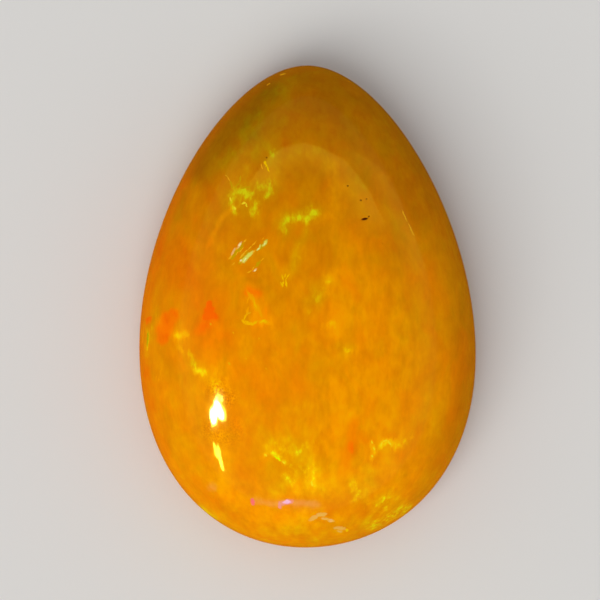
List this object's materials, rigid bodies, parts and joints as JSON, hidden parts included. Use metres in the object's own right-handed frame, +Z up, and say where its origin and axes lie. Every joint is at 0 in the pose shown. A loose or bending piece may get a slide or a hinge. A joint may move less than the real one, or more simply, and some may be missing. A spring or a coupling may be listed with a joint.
{
  "type": "opal cabochon",
  "caption": "Loose egg-shaped opal cabochon with a high polished dome, a thin upright girdle, a bevelled edge and a flat base.",
  "frame": {"origin": "on the flat base, in the middle of the stone's length and width", "axes": "+Z up through the dome, +Y along the length towards the narrow end, +X across the width"},
  "size_m": [0.0102, 0.0144, 0.0056],
  "materials": {
    "opal": "high polish over the dome and girdle, honey-orange body with small flecks of lime, yellow, red and pink, base ground flat and left a little duller"
  },
  "bodies": {
    "root": {"opal": "opal"}
  },
  "joints": []
}
